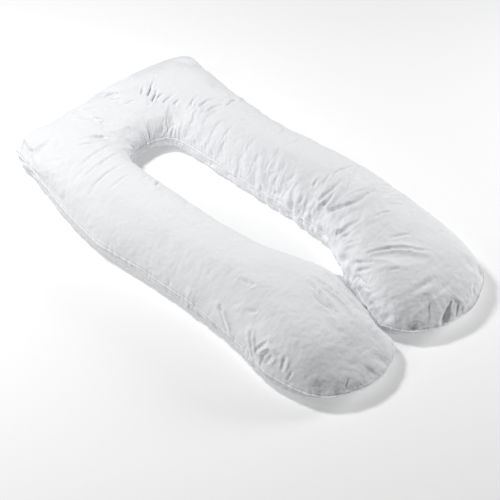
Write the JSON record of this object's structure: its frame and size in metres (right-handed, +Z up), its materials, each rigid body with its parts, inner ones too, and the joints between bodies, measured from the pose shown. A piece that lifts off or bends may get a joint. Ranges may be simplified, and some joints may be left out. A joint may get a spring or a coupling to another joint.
{
  "type": "body pillow",
  "caption": "Long U-shaped body pillow: two thick filled legs joined by a closed head end, in plain white cotton with a knife-edge seam.",
  "frame": {"origin": "middle of the pillow's outline, on the surface that its flat underside lies on", "axes": "+Y towards the closed head end, -Y towards the two foot ends, +X towards the right leg seen from above with the head end away, +Z up through the thickness"},
  "size_m": [0.8319, 1.5317, 0.1644],
  "materials": {
    "cotton": "matt plain-woven white cotton"
  },
  "bodies": {
    "root": {"pillow": "cotton"}
  },
  "joints": []
}
